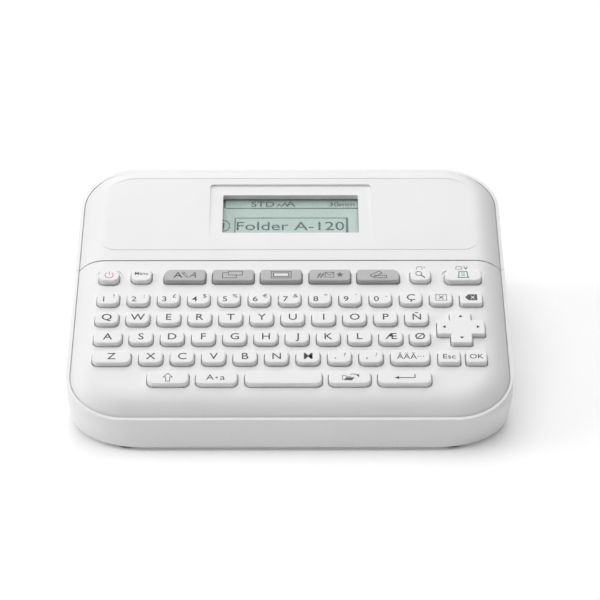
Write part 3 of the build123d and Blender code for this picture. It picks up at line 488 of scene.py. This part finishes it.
def around(x, y, steps):
    """Points given as steps from a middle."""
    return [(x + across, y + up) for across, up in steps]


def power_mark(marks, x, s):
    marks.arc(x, s - 0.1, 1.75, 125, 415, 0.38, 28)
    marks.line([(x, s), (x, s + 2.1)], 0.38)


def font_mark(marks, x, s):
    marks.text("A", x - 3.0, s, 3.3, 1.15, 0.03)
    marks.text("A", x + 3.2, s, 3.3, 1.0, -0.02, 0.35)
    pencil = ((-1.3, 1.1), (-0.5, 1.7), (1.2, -0.9), (1.1, -1.6), (0.4, -1.3))
    marks.line(around(x, s, pencil), 0.26, True)
    marks.line([(x - 0.8, s + 0.6), (x + 0.1, s + 1.1)], 0.2)


def style_mark(marks, x, s):
    rear_box = ((-0.9, -0.1), (1.3, -0.1), (1.3, -1.9), (-4.6, -1.9), (-4.6, 1.2), (-2.0, 1.2))
    marks.line(around(x, s, rear_box), 0.34)
    marks.line(box_path(x + 0.95, s + 1.0, 3.0, 1.15), 0.34, True)


def frame_mark(marks, x, s):
    marks.line(box_path(x, s, 4.3, 2.0), 0.34, True)
    marks.line(box_path(x, s, 3.3, 1.1), 0.42, True)


def symbol_mark(marks, x, s):
    marks.text("#", x - 4.0, s, 3.0, 1.15, 0.01, 0.15)
    marks.line(box_path(x - 0.2, s, 1.9, 1.5), 0.3, True)
    marks.line([(x - 2.0, s + 1.4), (x - 0.2, s - 0.3), (x + 1.6, s + 1.4)], 0.28)
    star = []
    for i in range(10):
        reach = 1.75 if i % 2 == 0 else 0.75
        star.append((x + 4.3 + reach * sin(pi * i / 5), s + reach * cos(pi * i / 5)))
    for i in range(0, 10, 2):
        marks.shape([(x + 4.3, s), star[i - 1], star[i], star[(i + 1) % 10]])


def label_mark(marks, x, s):
    marks.line([(x - 3.6, s - 0.3), (x + 0.4, s + 2.2), (x + 1.7, s + 0.9), (x - 2.3, s - 1.6)], 0.32, True)
    marks.line(box_path(x + 1.0, s - 1.2, 2.6, 0.8), 0.32, True)
    for i in range(5):
        marks.line([(x - 0.9 + 0.9 * i, s - 1.6), (x - 0.9 + 0.9 * i, s - 1.1)], 0.2)


def preview_mark(marks, x, s):
    marks.arc(x - 0.8, s + 0.7, 1.25, 0, 360, 0.32, 20)
    marks.line([(x + 0.1, s - 0.25), (x + 1.9, s - 1.9)], 0.55)


def print_mark(marks, x, s):
    marks.line([(x - 2.0, s - 1.5), (x - 1.7, s + 1.8), (x + 1.7, s + 1.8), (x + 2.0, s - 1.5)], 0.45)
    marks.line([(x - 2.6, s - 1.75), (x + 2.6, s - 1.75)], 0.5)


def print_page(marks, x, s):
    for row in range(3):
        marks.line([(x - 0.9, s + 1.0 - row * 0.8), (x + 0.9, s + 1.0 - row * 0.8)], 0.22)


def clear_mark(marks, x, s):
    marks.line(box_path(x, s + 0.2, 2.3, 1.75), 0.26, True)
    marks.line([(x - 1.0, s - 0.8), (x + 1.0, s + 1.2)], 0.36)
    marks.line([(x - 1.0, s + 1.2), (x + 1.0, s - 0.8)], 0.36)


def backspace_mark(marks, x, s):
    """A filled arrow box with a cross left open in it, drawn as four pieces."""
    half, left, right, point = 1.75, x - 1.3, x + 2.5, x - 2.7
    cx, cy, arm, gap = x + 0.6, s + 0.2, 1.1, 0.24
    top, bottom, reach, notch = cy + half, cy - half, arm + gap / 2, gap * 1.4
    rear_left, rear_right = (cx - arm, cy + reach), (cx + arm, cy + reach)
    front_left, front_right = (cx - arm, cy - reach), (cx + arm, cy - reach)
    marks.shape([(point, cy), (left, bottom), front_left, (cx - notch, cy), rear_left, (left, top)])
    marks.shape([(right, top), rear_right, (cx + notch, cy), front_right, (right, bottom)])
    marks.shape([(left, top), rear_left, (cx, cy + notch), rear_right, (right, top)])
    marks.shape([(left, bottom), (right, bottom), front_right, (cx, cy - notch), front_left])


def arrows_mark(marks, x, s):
    reach, half, length = 7.9, 0.95, 1.3
    for turn in range(4):
        c, d = cos(pi / 2 * turn), sin(pi / 2 * turn)
        base = reach - length - (0.9 if turn % 2 else 0.0)
        tri = [(base, -half), (base + length, 0.0), (base, half)]
        marks.shape([(x + c * u - d * v, s + d * u + c * v) for u, v in tri])


def shift_mark(marks, x, s):
    head = ((0.0, 2.3), (-1.9, 0.2), (-0.85, 0.2))
    stem = ((-0.85, -2.1), (0.85, -2.1), (0.85, 0.2), (1.9, 0.2))
    marks.line(around(x, s, head + stem), 0.3, True)


def caps_mark(marks, x, s):
    marks.text("A", x - 2.7, s + 0.1, 3.0, 1.1, 0.0)
    marks.shape([(x - 0.75, s - 0.1), (x + 0.45, s - 0.65), (x + 0.45, s + 0.45)])
    marks.text("a", x + 2.5, s + 0.1, 3.0, 1.2, 0.0)


def file_mark(marks, x, s):
    folder = ((-2.2, -1.5), (-3.1, -1.5), (-3.1, 0.9), (-1.8, 0.9), (-1.4, 0.4), (0.3, 0.4))
    marks.line(around(x, s, folder), 0.24)
    marks.shape([(x - 2.6, s - 1.7), (x + 0.9, s - 1.7), (x + 1.9, s - 0.1), (x - 1.6, s - 0.1)])
    marks.arc(x + 1.5, s - 0.2, 2.0, 40, 125, 0.34, 12)
    marks.shape([(x + 2.6, s + 1.5), (x + 3.7, s - 0.1), (x + 3.9, s + 1.6)])


def enter_mark(marks, x, s):
    marks.line([(x + 4.2, s + 1.7), (x + 4.2, s - 0.3), (x - 2.6, s - 0.3)], 0.42)
    marks.shape([(x - 4.4, s - 0.3), (x - 2.4, s - 1.15), (x - 2.4, s + 0.55)])


legend("key_power", power_mark, INK_RED)
legend("key_menu", lambda marks, x, s: marks.text("Menu", x, s + 0.9, 1.75, 1.05, 0.02))
legend("key_font", font_mark, INK_SOFT)
legend("key_frame_style", style_mark, INK_SOFT)
legend("key_frame", frame_mark, INK_SOFT)
legend("key_frame", lambda marks, x, s: marks.shape(box_path(x, s, 3.0, 0.8)), INK_LIGHT, "legend_inner_")
legend("key_symbol", symbol_mark, INK_SOFT)
legend("key_label", label_mark, INK_SOFT)
legend("key_preview", preview_mark)
legend("key_print", print_mark, INK_GREEN)
legend("key_print", print_page, INK_SOFT, "legend_page_")
legend("key_clear", clear_mark)
legend("key_backspace", backspace_mark)
legend("arrow_pad", arrows_mark)
legend("key_escape", lambda marks, x, s: marks.text("Esc", x, s, 2.5, 1.2, 0.01))
legend("key_ok", lambda marks, x, s: marks.text("OK", x, s, 2.5, 1.1, 0.01))
legend("key_shift", shift_mark)
legend("key_caps", caps_mark)
legend("key_file", file_mark)
legend("key_enter", enter_mark)

# ---------------------------------------------------------------- panel icons above two keys
panel_top = max(to_top(v.co)[2] for v in nodes["keyboard_panel"].data.vertices)
x, s, _ = caps("key_preview")[0]
marks = Print()
marks.line([(x - 1.6, s + 5.3), (x - 1.2, s + 7.0), (x + 0.9, s + 7.0), (x + 0.9, s + 5.3)], 0.24)
marks.line([(x - 2.0, s + 5.1), (x + 1.2, s + 5.1)], 0.34)
marks.line([(x + 1.9, s + 7.1), (x + 1.9, s + 6.2)], 0.3)
x, s, _ = caps("key_print")[0]
marks.line([(x - 2.9, s + 5.5), (x - 2.5, s + 7.1), (x - 0.5, s + 7.1), (x - 0.1, s + 5.5)], 0.24, True)
marks.line([(x + 0.7, s + 7.1), (x + 1.5, s + 5.5), (x + 2.3, s + 7.1)], 0.4)
marks.place("panel_icons", INK_DARK, "case", panel_top)

# ---------------------------------------------------------------- display picture
face_n = max(to_top(v.co)[2] for v in nodes["lcd_panel"].data.vertices)
LCD_LEFT, LCD_RIGHT = -30.2, 30.8
marks = Print()
marks.text("STD", -12.2, 126.5, 3.3, 1.25, 0.03)
for i, height in enumerate((2.0, 2.7, 3.4)):
    marks.text("A", -4.9 + 2.6 * i, 124.9 + height / 2, height, 1.25, 0.02)
marks.text("30mm", 29.0, 126.3, 2.5, 1.3, 0.02, align="RIGHT")
status_line = ((0.9, 129.2), (0.9, 124.4), (1.7, 123.7), (LCD_RIGHT - LCD_LEFT, 123.7))
marks.line(around(LCD_LEFT, 0.0, status_line), 0.7)
marks.line([(-24.5, 105.0), (-24.5, 117.4), (25.0, 117.4)], 0.5)
marks.line([(25.4, 117.6), (25.4, 105.0)], 1.1)
marks.text("Folder A-120", 0.2, 112.3, 5.3, 1.18, 0.01)
marks.arc(LCD_LEFT + 0.7, 112.4, 2.6, 0, 360, 0.5, 28, 1.3)
marks.text("1", LCD_LEFT + 0.6, 112.4, 4.0, 1.1, 0.03)
marks.place("display_picture", INK_LCD, "lid", face_n)

# ---------------------------------------------------------------- floor
bpy.ops.mesh.primitive_plane_add(size=6.0, location=(0.0, 0.0, 0.0))
floor = bpy.context.object
floor.name = "floor"
paper = Surface("floor", (0.9, 0.9, 0.9), 0.9)
paper.shader.inputs["Emission Color"].default_value = (1.0, 1.0, 1.0, 1.0)
paper.shader.inputs["Emission Strength"].default_value = 0.1
floor.data.materials.append(paper.material)
